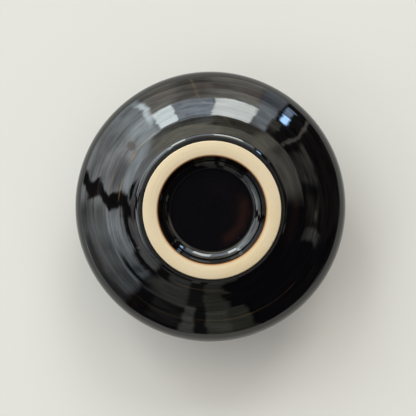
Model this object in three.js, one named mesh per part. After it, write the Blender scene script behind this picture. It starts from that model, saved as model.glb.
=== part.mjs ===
// Squat round wheel-thrown pot with a turned foot ring and a glossy dark glaze, resting on its mouth.
// Millimetres, +Z up. Z = 0 is the plane that the lip stands on, and the foot ring is at the top.

import * as THREE from "three";

// ---------------------------------------------------------------- driving dimensions

const bellyRadius = 75; // widest radius of the clay
const bellyHeight = 38; // widest plane above the lip's lowest point
const bellyCurve = 10.3; // radius of the tight turn between the base and the widest plane
const wall = 5; // clay wall, also the thickness of the lip
const floorThickness = 6; // clay between the foot well and the inside
const floorBlend = 36; // radius between the flat inside floor and the wall
const glaze = 0.5; // fired glaze coat

const footOuterRadius = 36.2;
const footWidth = 7.7; // across the bare ring
const footHeight = 7; // ground face above the root of the foot
const footHollow = 5.9; // radius turned outside the ring
const footEdge = 0.7; // rounding of the ring's two ground edges
const groundFlat = 2.4; // level stretch in the middle of the ring's ground face
const groundEase = 8; // degrees by which the face falls away on both sides of it
const seatDepth = 5; // plane where the ring is luted on, below its ground face

const wellDepth = 7.5;
const wellHollow = 9; // radius turned inside the ring
const wellWallSlope = 75; // degrees from level, at the top of the well's hollow

const baseSlope = 15; // degrees from level, where the base leaves the foot
const haunchSlope = 40.7; // degrees from level, where the base turns into the belly

const mouthRadius = 44.5; // inside the lip
const collarHeight = 5; // straight part of the neck above the lip's lowest point
const neckFillet = 3.5; // hollow between the shoulder and the collar

const segments = 48; // facets round every ring, so that coats and clay share their faces

// ---------------------------------------------------------------- profile helpers

const rad = THREE.MathUtils.degToRad;
const deg = THREE.MathUtils.radToDeg;

// One profile point: r and z, and the unit normal that leaves the clay there.
function point(r, z, normalR, normalZ) {
  return { r, z, normalR, normalZ };
}

// An arc of points. facing 1 has its normals away from the centre, -1 towards it.
function arc(centreR, centreZ, radius, from, to, steps, facing) {
  const points = [];
  for (let i = 0; i <= steps; i += 1) {
    const angle = rad(from + ((to - from) * i) / steps);
    const r = centreR + radius * Math.cos(angle);
    const z = centreZ + radius * Math.sin(angle);
    points.push(point(r, z, facing * Math.cos(angle), facing * Math.sin(angle)));
  }
  return points;
}

// Stretches end to end, with each shared end point kept once.
function chain(...stretches) {
  const points = [];
  for (const stretch of stretches) {
    const last = points[points.length - 1];
    const first = stretch[0];
    const joined = last && Math.hypot(last.r - first.r, last.z - first.z) < 1e-6;
    points.push(...(joined ? stretch.slice(1) : stretch));
  }
  return points;
}

// The same stretch, moved off the clay by the thickness of a coat.
function coat(points) {
  return points.map((p) =>
    point(p.r + p.normalR * glaze, p.z + p.normalZ * glaze, p.normalR, p.normalZ),
  );
}

// A coat's closed section: along its own face, and back along the clay.
function coatSection(points) {
  return [...coat(points), ...[...points].reverse()];
}

// The same for a stretch that ends on the axis, begun there.
function coatSectionFromAxis(points) {
  return [...[...points].reverse(), ...coat(points)];
}

// ---------------------------------------------------------------- outside of the clay, foot to mouth

const lipRadius = wall / 2;
const lipCentreZ = glaze + lipRadius;
const collarRadius = mouthRadius + wall;
const collarTopZ = glaze + collarHeight;
const bellyZ = glaze + bellyHeight;

const haunchRadius = bellyRadius - bellyCurve * (1 - Math.sin(rad(haunchSlope)));
const haunchZ = bellyZ + bellyCurve * Math.cos(rad(haunchSlope));

// The ground face eases down from its level stretch to a rounded edge on each side.
const easeWidth = (footWidth - groundFlat) / 2 - footEdge * (1 - Math.sin(rad(groundEase)));
const easeDrop = easeWidth * Math.tan(rad(groundEase));
const edgeDepth = easeDrop + footEdge * Math.cos(rad(groundEase));

const footFillet = Math.min(footHollow, (footHeight - edgeDepth) / Math.cos(rad(baseSlope)));
const footRootRadius = footOuterRadius + footFillet * (1 - Math.sin(rad(baseSlope)));
const baseCurve =
  (haunchRadius - footRootRadius) / (Math.sin(rad(haunchSlope)) - Math.sin(rad(baseSlope)));
const baseCentreR = haunchRadius - baseCurve * Math.sin(rad(haunchSlope));
const baseCentreZ = haunchZ - baseCurve * Math.cos(rad(haunchSlope));
const footRootZ = baseCentreZ + baseCurve * Math.cos(rad(baseSlope));
const groundZ = footRootZ + footHeight;
const seatZ = groundZ - seatDepth;

// The shoulder and the neck hollow meet smoothly between the belly and the collar.
const shoulderReach = bellyRadius - collarRadius;
const shoulderDrop = bellyZ - collarTopZ;
const shoulderTurn = deg(2 * Math.atan(shoulderReach / shoulderDrop));
const shoulderCurve = shoulderDrop / Math.sin(rad(shoulderTurn)) - neckFillet;
const neckCentreR = collarRadius + neckFillet;

const hollowCentreR = footOuterRadius + footFillet;
const hollowCentreZ = footRootZ + footFillet * Math.cos(rad(baseSlope));
const hollowSeatTurn = deg(Math.asin((hollowCentreZ - seatZ) / footFillet));
const hollowRootTurn = 90 - baseSlope;

const edgeCentreZ = groundZ - edgeDepth;
const outerEdgeCentreR = footOuterRadius - footEdge;
const outerEaseR = outerEdgeCentreR + footEdge * Math.sin(rad(groundEase)) - easeWidth;
const ringEdgeOutside = [
  point(outerEaseR, groundZ, 0, 1),
  ...arc(outerEdgeCentreR, edgeCentreZ, footEdge, 90 - groundEase, 0, 3, 1),
];
const hollowOnRing = arc(hollowCentreR, hollowCentreZ, footFillet, 180, 180 + hollowSeatTurn, 3, -1);
const hollowOnBody = arc(
  hollowCentreR,
  hollowCentreZ,
  footFillet,
  180 + hollowSeatTurn,
  180 + hollowRootTurn,
  2,
  -1,
);
const base = arc(baseCentreR, baseCentreZ, baseCurve, 90 - baseSlope, 90 - haunchSlope, 5, 1);
const belly = arc(bellyRadius - bellyCurve, bellyZ, bellyCurve, 90 - haunchSlope, 0, 4, 1);
const shoulder = arc(bellyRadius - shoulderCurve, bellyZ, shoulderCurve, 0, -shoulderTurn, 7, 1);
const neck = arc(neckCentreR, collarTopZ, neckFillet, 180 - shoulderTurn, 180, 3, -1);
const lip = arc(collarRadius - lipRadius, lipCentreZ, lipRadius, 0, -180, 6, 1);

// ---------------------------------------------------------------- foot well, axis to ring

const edgeTopDepth = edgeDepth - footEdge * Math.cos(rad(wellWallSlope));
const wellFillet = Math.min(
  wellHollow,
  (wellDepth - edgeTopDepth) / (1 - Math.cos(rad(wellWallSlope))),
);
const wellFloorZ = groundZ - wellDepth;
const footInnerRadius = footOuterRadius - footWidth;
const wellFloorRadius = footInnerRadius - wellFillet * Math.sin(rad(wellWallSlope));
const wellCentreZ = wellFloorZ + wellFillet;
const wellSeatTurn = deg(Math.acos((wellCentreZ - seatZ) / wellFillet));
const wellTopZ = wellCentreZ - wellFillet * Math.cos(rad(wellWallSlope));
const wellWallLean = (groundZ - edgeTopDepth - wellTopZ) / Math.tan(rad(wellWallSlope));
const innerEdgeCentreR = footInnerRadius + wellWallLean + footEdge * Math.sin(rad(wellWallSlope));
const innerEaseR = innerEdgeCentreR - footEdge * Math.sin(rad(groundEase)) + easeWidth;

const wellFloor = [point(0, wellFloorZ, 0, 1)];
const wellOnBody = arc(wellFloorRadius, wellCentreZ, wellFillet, -90, wellSeatTurn - 90, 2, -1);
const wellOnRing = arc(
  wellFloorRadius,
  wellCentreZ,
  wellFillet,
  wellSeatTurn - 90,
  wellWallSlope - 90,
  3,
  -1,
);
const ringEdgeInside = [
  ...arc(innerEdgeCentreR, edgeCentreZ, footEdge, 90 + wellWallSlope, 90 + groundEase, 3, 1),
  point(innerEaseR, groundZ, 0, 1),
];

// ---------------------------------------------------------------- inside of the clay, mouth to floor

const innerFloorZ = wellFloorZ - floorThickness;
const innerBaseCurve = baseCurve - wall;
const innerBlend = Math.min(floorBlend, innerBaseCurve / 2);
const blendCentreZ = innerFloorZ - innerBlend;
const blendReach = innerBaseCurve - innerBlend;
const blendTurn = deg(Math.acos((blendCentreZ - baseCentreZ) / blendReach));
const blendCentreR = baseCentreR + blendReach * Math.sin(rad(blendTurn));

const innerNeck = arc(neckCentreR, collarTopZ, neckFillet + wall, 180, 180 - shoulderTurn, 4, 1);
const innerShoulder = arc(
  bellyRadius - shoulderCurve,
  bellyZ,
  shoulderCurve - wall,
  -shoulderTurn,
  0,
  6,
  -1,
);
const innerBelly = arc(
  bellyRadius - bellyCurve,
  bellyZ,
  bellyCurve - wall,
  0,
  90 - haunchSlope,
  3,
  -1,
);
const innerBase = arc(
  baseCentreR,
  baseCentreZ,
  innerBaseCurve,
  90 - haunchSlope,
  90 - blendTurn,
  3,
  -1,
);
const innerFloor = [
  ...arc(blendCentreR, blendCentreZ, innerBlend, 90 - blendTurn, 90, 3, -1),
  point(0, innerFloorZ, 0, -1),
];

// ---------------------------------------------------------------- the pieces

const outsideUnderGlaze = chain(hollowOnRing, hollowOnBody, base, belly, shoulder, neck, [lip[0]]);
const insideUnderGlaze = chain(
  [lip[lip.length - 1]],
  innerNeck,
  innerShoulder,
  innerBelly,
  innerBase,
  innerFloor,
);
const wellUnderGlaze = chain(wellFloor, wellOnBody, wellOnRing);

// Thrown wall and floor, one piece from the ring's seat over the lip to the inside floor.
function thrownBody() {
  return chain(
    wellFloor,
    wellOnBody,
    hollowOnBody,
    base,
    belly,
    shoulder,
    neck,
    lip,
    insideUnderGlaze,
  );
}

// Turned foot ring, luted on the flat seat: ground face up, hollows down both sides.
function footRing() {
  return chain(wellOnRing, ringEdgeInside, ringEdgeOutside, hollowOnRing);
}

// A ring's section is closed on itself; a dish's section starts and ends on the axis.
function turned(name, section, closed, material) {
  const outline = section.map((p) => new THREE.Vector2(Math.max(p.r, 0), p.z));
  if (closed) {
    outline.push(outline[0].clone());
  }
  const mesh = new THREE.Mesh(new THREE.LatheGeometry(outline.reverse(), segments), material);
  mesh.name = name;
  mesh.rotation.x = Math.PI / 2;
  return mesh;
}

const stoneware = () =>
  new THREE.MeshStandardMaterial({ color: 0xe5d2aa, roughness: 0.9, metalness: 0 });
const blackGlaze = () =>
  new THREE.MeshStandardMaterial({ color: 0x0b0908, roughness: 0.06, metalness: 0 });
const rustGlaze = () =>
  new THREE.MeshStandardMaterial({ color: 0x3a1f10, roughness: 0.1, metalness: 0 });

const pot = new THREE.Group();
pot.name = "round_pot";
pot.add(turned("thrown_body", thrownBody(), false, stoneware()));
pot.add(turned("foot_ring", footRing(), true, stoneware()));
pot.add(turned("outer_glaze", coatSection(outsideUnderGlaze), true, blackGlaze()));
pot.add(turned("lip_glaze", coatSection(lip), true, rustGlaze()));
pot.add(turned("inner_glaze", coatSectionFromAxis(insideUnderGlaze), false, blackGlaze()));
pot.add(turned("foot_well_glaze", coatSection(wellUnderGlaze), false, blackGlaze()));

export default pot;
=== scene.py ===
"""Looks of a squat round wheel-thrown pot with a bare foot ring, on its mouth in soft studio light."""

import logging
import math
from collections.abc import Callable, Sequence
from dataclasses import dataclass, field
from enum import Enum

import bpy
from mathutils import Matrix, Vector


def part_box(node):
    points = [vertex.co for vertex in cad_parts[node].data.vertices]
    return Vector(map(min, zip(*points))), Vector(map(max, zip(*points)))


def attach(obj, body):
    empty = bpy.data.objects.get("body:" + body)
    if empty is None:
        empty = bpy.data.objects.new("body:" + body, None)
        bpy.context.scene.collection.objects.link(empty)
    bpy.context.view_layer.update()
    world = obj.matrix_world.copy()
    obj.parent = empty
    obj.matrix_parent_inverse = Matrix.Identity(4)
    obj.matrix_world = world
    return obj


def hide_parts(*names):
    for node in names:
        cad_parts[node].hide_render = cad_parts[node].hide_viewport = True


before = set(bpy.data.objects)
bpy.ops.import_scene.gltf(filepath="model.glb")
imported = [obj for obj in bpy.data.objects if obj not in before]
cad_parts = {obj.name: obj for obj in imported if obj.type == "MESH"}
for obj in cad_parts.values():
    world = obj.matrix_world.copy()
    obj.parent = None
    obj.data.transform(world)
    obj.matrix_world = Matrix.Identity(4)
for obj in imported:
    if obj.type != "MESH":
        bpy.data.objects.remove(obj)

log = logging.getLogger("round_pot")

MM = 0.001
MOST_TURN = 7.0  # degrees between two points of an arc
SAME_POINT = 1e-7
WELD = 0.004 * MM
SHARP_EDGE = 40.0  # degrees, past which shading breaks


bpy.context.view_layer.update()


# ---------------------------------------------------------------- outlines


@dataclass(frozen=True)
class Point:
    """One point of an outline, with the unit normal that leaves the clay there."""

    r: float
    z: float
    normal_r: float = 0.0
    normal_z: float = 0.0

    def off(self, distance: float) -> "Point":
        """Returns the point moved along its normal by that distance."""
        return Point(
            self.r + self.normal_r * distance,
            self.z + self.normal_z * distance,
            self.normal_r,
            self.normal_z,
        )


class Bend(Enum):
    """Which way the clay faces on an arc: away from its centre, or towards it."""

    OUT = 1.0
    IN = -1.0


Outline = list[Point]


def arc(
    centre: tuple[float, float], radius: float, start: float, end: float, bend: Bend, pitch: float
) -> Outline:
    """Points along an arc of an outline.

    Args:
        centre: The arc's centre, as radius and height.
        radius: The arc's own radius.
        start: Angle of the first point, in degrees from level outwards.
        end: Angle of the last point.
        bend: Whether the clay faces away from the centre or towards it.
        pitch: About how far apart the points are.

    Returns:
        The points, both ends included.
    """
    turn = math.radians(end - start)
    steps = max(math.ceil(abs(turn) * radius / pitch), math.ceil(abs(end - start) / MOST_TURN))
    points = []
    for i in range(steps + 1):
        angle = math.radians(start) + turn * i / steps
        c, s = math.cos(angle), math.sin(angle)
        points.append(
            Point(centre[0] + radius * c, centre[1] + radius * s, bend.value * c, bend.value * s)
        )
    return points


def line(start: Point, end: Point, pitch: float) -> Outline:
    """Points along a straight stretch of an outline.

    Args:
        start: First point, whose normal the stretch keeps.
        end: Last point.
        pitch: About how far apart the points are.

    Returns:
        The points, both ends included.
    """
    span = math.hypot(end.r - start.r, end.z - start.z)
    steps = max(1, math.ceil(span / pitch))
    points = []
    for i in range(steps + 1):
        share = i / steps
        points.append(
            Point(
                start.r + (end.r - start.r) * share,
                start.z + (end.z - start.z) * share,
                start.normal_r,
                start.normal_z,
            )
        )
    return points


def chain(*stretches: Outline) -> Outline:
    """Joins stretches end to end.

    Args:
        stretches: Outlines, each beginning where the one before it ends.

    Returns:
        One outline, with each shared point kept once.
    """
    points: Outline = []
    for stretch in stretches:
        for point in stretch:
            if points and math.hypot(points[-1].r - point.r, points[-1].z - point.z) < SAME_POINT:
                continue
            points.append(point)
    return points


def sparse(outline: Outline) -> Outline:
    """Returns every third point of an outline that stays hidden, and both its ends."""
    kept = outline[:-1:3]
    return kept + [outline[-1]]


def relief(outline: Outline, height: Callable[[float, Point], float]) -> Outline:
    """Raises an outline along its normals.

    Args:
        outline: The smooth outline.
        height: Gives the rise from the distance along the outline and the point.

    Returns:
        The raised outline.
    """
    raised, travelled = [], 0.0
    for i, point in enumerate(outline):
        if i:
            travelled += math.hypot(point.r - outline[i - 1].r, point.z - outline[i - 1].z)
        raised.append(point.off(height(travelled, point)))
    return raised


# ---------------------------------------------------------------- sizes of the clay


@dataclass
class ClaySizes:
    """Driving sizes of the thrown clay, in metres and degrees, and the outlines that follow from them.

    Attributes:
        belly_curve: Radius of the arc at the widest plane.
        wall: Thickness of the wall and lip.
        floor: Thickness between the foot well and the inside floor.
        floor_blend: Radius that joins the inside wall to the floor.
        glaze: Thickness of a coat.
        foot_width: Width of the foot ring.
        foot_outer: Outer radius of the foot ring.
        foot_height: From the foot's root to the ground face.
        foot_hollow: Radius of the hollow outside the ring.
        foot_edge: Rounding of the ring's edges.
        ground_flat: Width of the ring's level middle.
        ground_ease: Slope on both sides of that middle.
        seat_depth: From the ground face to the seat that the ring is luted on.
        well_depth: From the ground face to the well's floor.
        well_hollow: Radius between the well's floor and its wall.
        well_wall_slope: Slope of the ring's inner wall.
        base_slope: Slope of the base at the foot's root.
        haunch_slope: Slope where the base meets the arc of the belly.
        mouth: Inner radius of the mouth.
        collar: Height of the straight collar.
        neck_hollow: Radius between shoulder and collar.
        pitch: About how far apart the points of a visible outline are.
        belly: Greatest radius of the clay.
        ground: Height of the ground face.
        belly_z: Height of the widest plane.
    """

    belly_curve: float = 10.3 * MM
    wall: float = 5.0 * MM
    floor: float = 6.0 * MM
    floor_blend: float = 36.0 * MM
    glaze: float = 0.5 * MM
    foot_width: float = 7.7 * MM
    foot_outer: float = 36.2 * MM
    foot_height: float = 7.0 * MM
    foot_hollow: float = 5.9 * MM
    foot_edge: float = 0.7 * MM
    ground_flat: float = 2.4 * MM
    ground_ease: float = 8.0
    seat_depth: float = 5.0 * MM
    well_depth: float = 7.5 * MM
    well_hollow: float = 9.0 * MM
    well_wall_slope: float = 75.0
    base_slope: float = 15.0
    haunch_slope: float = 40.7
    mouth: float = 44.5 * MM
    collar: float = 5.0 * MM
    neck_hollow: float = 3.5 * MM
    pitch: float = 1.0 * MM
    belly: float = field(init=False)
    ground: float = field(init=False)
    belly_z: float = field(init=False)

    def __post_init__(self) -> None:
        """Takes the belly's radius and the ground face's height from the frame, and solves curves."""
        self.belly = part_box("outer_glaze")[1].x - self.glaze
        self.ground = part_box("foot_ring")[1].z
        base, haunch = math.radians(self.base_slope), math.radians(self.haunch_slope)
        self.haunch_r = self.belly - self.belly_curve * (1 - math.sin(haunch))
        self.root_r = self.foot_outer + self.foot_hollow * (1 - math.sin(base))
        self.root_z = self.ground - self.foot_height
        self.base_curve = (self.haunch_r - self.root_r) / (math.sin(haunch) - math.sin(base))
        self.base_centre = (
            self.haunch_r - self.base_curve * math.sin(haunch),
            self.root_z - self.base_curve * math.cos(base),
        )
        haunch_z = self.base_centre[1] + self.base_curve * math.cos(haunch)
        self.belly_z = haunch_z - self.belly_curve * math.cos(haunch)
        self.belly_centre = (self.belly - self.belly_curve, self.belly_z)
        self.collar_r = self.mouth + self.wall
        self.collar_z = self.glaze + self.collar
        drop, reach = self.belly_z - self.collar_z, self.belly - self.collar_r
        turn = 2 * math.atan(reach / drop)
        self.shoulder_turn = math.degrees(turn)
        self.shoulder_curve = drop / math.sin(turn) - self.neck_hollow
        self.shoulder_centre = (self.belly - self.shoulder_curve, self.belly_z)
        self.neck_centre = (self.collar_r + self.neck_hollow, self.collar_z)
        self.hollow_centre = (
            self.foot_outer + self.foot_hollow,
            self.root_z + self.foot_hollow * math.cos(base),
        )
        self.well_floor = self.ground - self.well_depth
        self.foot_inner = self.foot_outer - self.foot_width
        well_wall = math.radians(self.well_wall_slope)
        self.well_flat = self.foot_inner - self.well_hollow * math.sin(well_wall)
        self.well_centre = (self.well_flat, self.well_floor + self.well_hollow)
        self.seat_z = self.ground - self.seat_depth
        ease = math.radians(self.ground_ease)
        bare = (self.foot_width - self.ground_flat) / 2
        self.ease_width = bare - self.foot_edge * (1 - math.sin(ease))
        self.edge_depth = self.ease_width * math.tan(ease) + self.foot_edge * math.cos(ease)

    def hollow(self) -> Outline:
        """Returns the turned hollow outside the ring, from its side down to the base."""
        end = 270 - self.base_slope
        return arc(self.hollow_centre, self.foot_hollow, 180, end, Bend.IN, self.pitch)

    def base_and_belly(self) -> Outline:
        """Returns the base from the foot's root, the haunch and the belly down to the widest plane."""
        base, haunch = 90 - self.base_slope, 90 - self.haunch_slope
        return chain(
            arc(self.base_centre, self.base_curve, base, haunch, Bend.OUT, self.pitch),
            arc(self.belly_centre, self.belly_curve, haunch, 0, Bend.OUT, self.pitch),
        )

    def shoulder_and_neck(self) -> Outline:
        """Returns the shoulder from the widest plane, and the neck's hollow down to the collar."""
        turn = self.shoulder_turn
        return chain(
            arc(self.shoulder_centre, self.shoulder_curve, 0, -turn, Bend.OUT, self.pitch),
            arc(self.neck_centre, self.neck_hollow, 180 - turn, 180, Bend.IN, self.pitch),
            [self.lip()[0]],
        )

    def lip(self) -> Outline:
        """Returns the rounded lip, from outside to inside."""
        radius = self.wall / 2
        centre = (self.collar_r - radius, self.glaze + radius)
        return arc(centre, radius, 0, -180, Bend.OUT, self.pitch)

    def inside(self) -> Outline:
        """Returns the inside, from the lip to the axis."""
        wall, haunch, turn = self.wall, 90 - self.haunch_slope, self.shoulder_turn
        floor_z = self.well_floor - self.floor
        inner = self.base_curve - wall
        blend = min(self.floor_blend, inner / 2)
        centre_z, reach = floor_z - blend, inner - blend
        lean = math.degrees(math.acos((centre_z - self.base_centre[1]) / reach))
        centre = (self.base_centre[0] + reach * math.sin(math.radians(lean)), centre_z)
        pitch = self.pitch * 2
        rounding = arc(centre, blend, 90 - lean, 90, Bend.IN, pitch)
        return chain(
            [self.lip()[-1]],
            arc(self.neck_centre, self.neck_hollow + wall, 180, 180 - turn, Bend.OUT, pitch),
            arc(self.shoulder_centre, self.shoulder_curve - wall, -turn, 0, Bend.IN, pitch),
            arc(self.belly_centre, self.belly_curve - wall, 0, haunch, Bend.IN, pitch),
            arc(self.base_centre, inner, haunch, 90 - lean, Bend.IN, pitch),
            rounding,
            line(rounding[-1], Point(0.0, floor_z, 0.0, -1.0), 2 * pitch),
        )

    def well(self) -> Outline:
        """Returns the foot well, from the axis up its hollow to the ring's inner wall."""
        end = self.well_wall_slope - 90
        flat = line(
            Point(0.0, self.well_floor, 0.0, 1.0),
            Point(self.well_flat, self.well_floor, 0.0, 1.0),
            2 * self.pitch,
        )
        return chain(flat, arc(self.well_centre, self.well_hollow, -90, end, Bend.IN, self.pitch))

    def ground_face(self) -> Outline:
        """Returns the ring's ground face, from its inner edge over the level stretch to the outer."""
        ease, slope = math.radians(self.ground_ease), math.radians(self.well_wall_slope)
        edge, top = self.foot_edge, self.well()[-1].z
        centre_z = self.ground - self.edge_depth
        lean = (centre_z + edge * math.cos(slope) - top) / math.tan(slope)
        inner = (self.foot_inner + lean + edge * math.sin(slope), centre_z)
        outer = (self.foot_outer - edge, centre_z)
        reach = self.ease_width - edge * math.sin(ease)
        level_in = Point(inner[0] + reach, self.ground, 0.0, 1.0)
        level_out = Point(outer[0] - reach, self.ground, 0.0, 1.0)
        start, end = 90 + self.well_wall_slope, 90 + self.ground_ease
        edge_in = arc(inner, edge, start, end, Bend.OUT, edge)
        edge_out = arc(outer, edge, 90 - self.ground_ease, 0, Bend.OUT, edge)
        step = 0.7 * self.pitch
        return chain(
            edge_in,
            line(edge_in[-1], level_in, step),
            line(level_in, level_out, step),
            line(level_out, edge_out[0], step),
            edge_out,
        )

    def below_seat(self, outline: Outline) -> Outline:
        """Returns the part of an outline that lies on the body, under the ring's seat."""
        return [p for p in outline if p.z < self.seat_z]

    def above_seat(self, outline: Outline) -> Outline:
        """Returns the part of an outline that lies on the ring, over its seat."""
        return [p for p in outline if p.z > self.seat_z]

    def seat(self) -> tuple[Point, Point]:
        """Returns the inner and outer ends of the ring's flat seat."""
        drop_in = self.well_centre[1] - self.seat_z
        inner = self.well_centre[0] + math.sqrt(self.well_hollow**2 - drop_in**2)
        drop_out = self.hollow_centre[1] - self.seat_z
        outer = self.hollow_centre[0] - math.sqrt(self.foot_hollow**2 - drop_out**2)
        return Point(inner, self.seat_z), Point(outer, self.seat_z)


# ---------------------------------------------------------------- the wheel


@dataclass
class Wheel:
    """Turns outlines round the pot's axis, as the potter's wheel does."""

    steps: int = 256

    def turn(self, name: str, outline: Sequence[Point], closed: bool) -> bpy.types.Object:
        """Extrudes one point along an outline and spins the string of edges round the axis.

        Args:
            name: The piece's name.
            outline: Points from axis to axis, or round a closed ring.
            closed: Whether the outline goes back to its first point.

        Returns:
            The turned piece, shaded smooth, with its faces pointing out.
        """
        points = list(outline) + ([outline[0]] if closed else [])
        bpy.ops.object.select_all(action="DESELECT")
        start = points[0]
        bpy.ops.mesh.primitive_plane_add(size=MM, location=(start.r, 0.0, start.z))
        piece = bpy.context.object
        bpy.ops.object.transform_apply(location=True, rotation=True, scale=True)
        bpy.ops.object.mode_set(mode="EDIT")
        bpy.ops.mesh.select_mode(type="VERT")
        bpy.ops.mesh.select_all(action="SELECT")
        bpy.ops.mesh.merge(type="CENTER")
        for before, after in zip(points, points[1:]):
            step = (after.r - before.r, 0.0, after.z - before.z)
            bpy.ops.mesh.extrude_region_move(TRANSFORM_OT_translate={"value": step})
        bpy.ops.mesh.select_all(action="SELECT")
        bpy.ops.mesh.spin(
            steps=self.steps, angle=math.tau, center=(0.0, 0.0, 0.0), axis=(0.0, 0.0, 1.0)
        )
        bpy.ops.mesh.select_all(action="SELECT")
        bpy.ops.mesh.remove_doubles(threshold=WELD)
        bpy.ops.mesh.normals_make_consistent(inside=False)
        bpy.ops.object.mode_set(mode="OBJECT")
        bpy.ops.object.shade_smooth_by_angle(angle=math.radians(SHARP_EDGE))
        piece.name = piece.data.name = name
        return piece


# ---------------------------------------------------------------- shader maths


class Value:
    """A shader socket that takes part in Python arithmetic."""

    def __init__(self, paint: "Paint", socket: bpy.types.NodeSocket) -> None:
        """Keeps the material that the socket belongs to, for the nodes that arithmetic adds."""
        self.paint = paint
        self.socket = socket

    def _math(self, operation: str, first: "Number", second: "Number") -> "Value":
        """Returns the result of one Math node."""
        return self.paint.node("ShaderNodeMath", {"operation": operation}, {0: first, 1: second})

    def __add__(self, other: "Number") -> "Value":
        """Returns the sum."""
        return self._math("ADD", self, other)

    __radd__ = __add__

    def __sub__(self, other: "Number") -> "Value":
        """Returns the difference."""
        return self._math("SUBTRACT", self, other)

    def __rsub__(self, other: "Number") -> "Value":
        """Returns the difference, with this value taken away."""
        return self._math("SUBTRACT", other, self)

    def __mul__(self, other: "Number") -> "Value":
        """Returns the product."""
        return self._math("MULTIPLY", self, other)

    __rmul__ = __mul__

    def __truediv__(self, other: "Number") -> "Value":
        """Returns the quotient."""
        return self._math("DIVIDE", self, other)

    def __pow__(self, other: "Number") -> "Value":
        """Returns the power."""
        return self._math("POWER", self, other)

    def __abs__(self) -> "Value":
        """Returns the size without its sign."""
        return self._math("ABSOLUTE", self, 0.0)


Number = float | Value


class Paint:
    """Builds the nodes of one material or of the world."""

    def __init__(self, tree: bpy.types.NodeTree) -> None:
        """Empties the tree."""
        self.tree = tree
        self.tree.nodes.clear()

    def node(
        self,
        kind: str,
        settings: dict[str, object] | None = None,
        sockets: dict[int | str, object] | None = None,
        output: int | str = 0,
    ) -> Value:
        """Adds a node.

        Args:
            kind: The node's type.
            settings: Its properties, set first.
            sockets: Input values or links, by index or name.
            output: Which output to return.

        Returns:
            The chosen output.
        """
        made = self.tree.nodes.new(kind)
        for key, value in (settings or {}).items():
            setattr(made, key, value)
        for key, value in (sockets or {}).items():
            if isinstance(value, Value):
                self.tree.links.new(value.socket, made.inputs[key])
            else:
                made.inputs[key].default_value = value
        return Value(self, made.outputs[output] if made.outputs else None)

    def place(self) -> tuple[Value, Value, Value]:
        """Returns the point's x, y and z on the piece, in metres."""
        vector = self.node("ShaderNodeTexCoord", output="Object")
        parts = self.tree.nodes.new("ShaderNodeSeparateXYZ")
        self.tree.links.new(vector.socket, parts.inputs[0])
        return tuple(Value(self, parts.outputs[i]) for i in range(3))

    def vector(self, x: Number, y: Number, z: Number) -> Value:
        """Returns three values as one vector."""
        return self.node("ShaderNodeCombineXYZ", None, {0: x, 1: y, 2: z})

    def ramp(self, value: Number, low: float, high: float) -> Value:
        """Returns a smooth step from 0 at low to 1 at high; low may be the larger."""
        settings = {"interpolation_type": "SMOOTHSTEP", "clamp": True}
        if low <= high:
            return self.node("ShaderNodeMapRange", settings, {0: value, 1: low, 2: high})
        sockets = {0: value, 1: high, 2: low, 3: 1.0, 4: 0.0}
        return self.node("ShaderNodeMapRange", settings, sockets)

    def band(self, value: Number, middle: float, half: float) -> Value:
        """Returns 1 at the middle of a band, falling smoothly to 0 at half its width away."""
        return self.ramp(abs(value - middle), half, 0.0)

    def mix(self, factor: Number, first: object, second: object, blend: str = "MIX") -> Value:
        """Returns the first colour with the second blended into it, by the factor."""
        settings = {"data_type": "RGBA", "clamp_factor": True, "blend_type": blend}
        return self.node("ShaderNodeMix", settings, {0: factor, 6: first, 7: second}, 2)

    def noise(
        self, vector: Value, scale: float, detail: float = 2.0, w: Number | None = None
    ) -> Value:
        """Returns a soft noise from about 0 to 1, in four dimensions where w is given."""
        sockets = {"Vector": vector, "Scale": scale, "Detail": detail, "Roughness": 0.55}
        if w is None:
            return self.node("ShaderNodeTexNoise", {"noise_dimensions": "3D"}, sockets)
        sockets["W"] = w
        return self.node("ShaderNodeTexNoise", {"noise_dimensions": "4D"}, sockets)

    def principled(self, sockets: dict[int | str, object]) -> Value:
        """Returns a Principled shader with those inputs."""
        return self.node("ShaderNodeBsdfPrincipled", None, sockets)

    def show(self, surface: Value) -> None:
        """Makes a shader the material's surface."""
        self.node("ShaderNodeOutputMaterial", None, {"Surface": surface})

    def bump(self, height: Number, distance: float, under: Value | None = None) -> Value:
        """Returns a normal that stands for a relief of that height, over another where given."""
        sockets: dict[int | str, object] = {"Height": height, "Distance": distance}
        if under is not None:
            sockets["Normal"] = under
        return self.node("ShaderNodeBump", None, sockets)


def new_material(name: str) -> tuple[bpy.types.Material, Paint]:
    """Returns an empty material of that name, and the builder of its nodes."""
    material = bpy.data.materials.new(name)
    material.use_nodes = True
    return material, Paint(material.node_tree)


@dataclass(frozen=True)
class Streak:
    """How noise is drawn out round the axis.

    Attributes:
        along: How fast it changes round the axis; low is long.
        across: How fast it changes over the profile, per metre.
        detail: The noise's detail.
    """

    along: float
    across: float
    detail: float = 2.0


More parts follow.
